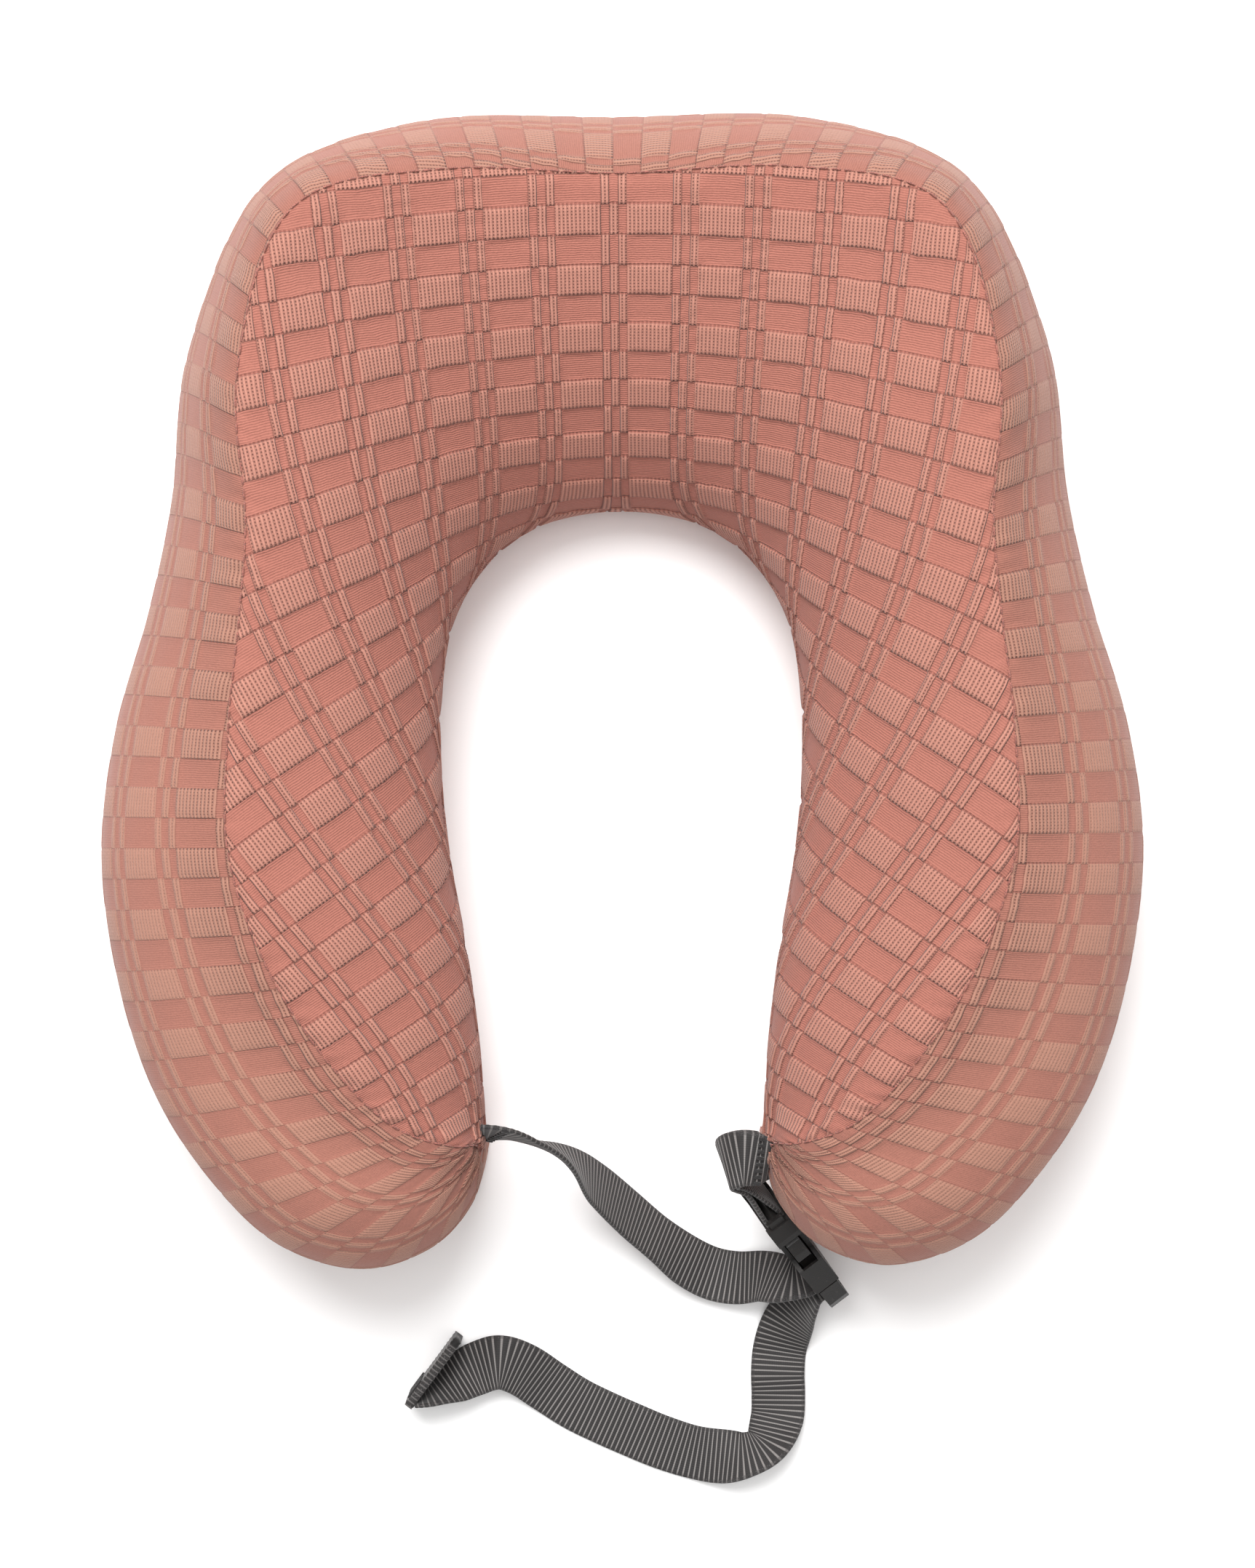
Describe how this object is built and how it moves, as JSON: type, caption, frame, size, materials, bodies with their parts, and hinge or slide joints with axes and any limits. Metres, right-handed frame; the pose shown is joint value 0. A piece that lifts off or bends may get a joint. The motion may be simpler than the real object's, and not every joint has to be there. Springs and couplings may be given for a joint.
{
  "type": "u shaped neck pillow",
  "caption": "U-shaped travel neck pillow: memory-foam core in a zipped jacquard-knit cover, closed in front by a webbing strap with a side-release buckle.",
  "frame": {"origin": "centre of the pillow's footprint, on the surface it rests on, measured without the strap and buckle", "axes": "+Y towards the back of the neck, +Z up; the two arms point along -Y and the wearer's right arm is at +X seen from above with +Y up"},
  "size_m": [0.276, 0.3728, 0.1053],
  "materials": {
    "knit_top": "matte jacquard knit",
    "knit_side": "matte jacquard knit",
    "base_knit": "matte plain knit",
    "liner": "matte stretch mesh",
    "foam": "matte memory foam",
    "thread": "matte sewing thread",
    "zip_tape": "matte woven tape",
    "zip_teeth": "satin nylon",
    "zip_metal": "satin enamel",
    "webbing": "ribbed polyester webbing",
    "strap_thread": "matte sewing thread",
    "buckle": "satin moulded acetal"
  },
  "bodies": {
    "pillow": {"foam_core": "foam", "foam_liner": "liner", "foam_liner_base": "liner", "cover_top": "knit_top", "cover_side": "knit_side", "cover_base_front": "base_knit", "cover_base_rear": "base_knit", "top_seam_thread": "thread", "base_seam_thread": "thread", "zip_tape_front": "zip_tape", "zip_tape_rear": "zip_tape", "zip_teeth_front": "zip_teeth", "zip_teeth_rear": "zip_teeth", "zip_stops": "zip_metal", "strap_webbing": "webbing", "strap_hem_stitch": "strap_thread", "strap_bartack": "strap_thread", "strap_loop": "webbing", "loop_bartack": "strap_thread", "buckle_female": "buckle"},
    "buckle_male": {"buckle_male": "buckle"},
    "latch_upper": {"latch_arm_upper": "buckle"},
    "latch_lower": {"latch_arm_lower": "buckle"},
    "zip_slider": {"zip_slider": "zip_metal"},
    "zip_pull": {"zip_pull": "zip_metal"}
  },
  "joints": [
    {"name": "buckle_release", "type": "slide", "parent": "pillow", "child": "buckle_male", "axis": [0.4854, -0.6472, -0.5878], "range_m": [0, 0.016], "deforming": ["strap_webbing"]},
    {"name": "latch_upper_flex", "type": "hinge", "parent": "buckle_male", "child": "latch_upper", "pos_m": [0.0531, -0.1593, 0.02168], "axis": [-0.8, -0.6, 0], "range_deg": [0, 15]},
    {"name": "latch_lower_flex", "type": "hinge", "parent": "buckle_male", "child": "latch_lower", "pos_m": [0.04816, -0.15271, 0.01035], "axis": [0.8, 0.6, 0], "range_deg": [0, 15]},
    {"name": "zip_slide", "type": "slide", "parent": "pillow", "child": "zip_slider", "axis": [1, 0, 0], "range_m": [-0.145, 0]},
    {"name": "zip_pull_swing", "type": "hinge", "parent": "zip_slider", "child": "zip_pull", "pos_m": [0.0702, 0.096, 0.00055], "axis": [0, -1, 0], "range_deg": [0, 105]}
  ],
  "couplings": [
    {"joint": "latch_upper_flex", "follows": "buckle_release", "rad_per_m": 15.708},
    {"joint": "latch_lower_flex", "follows": "buckle_release", "rad_per_m": 15.708}
  ]
}
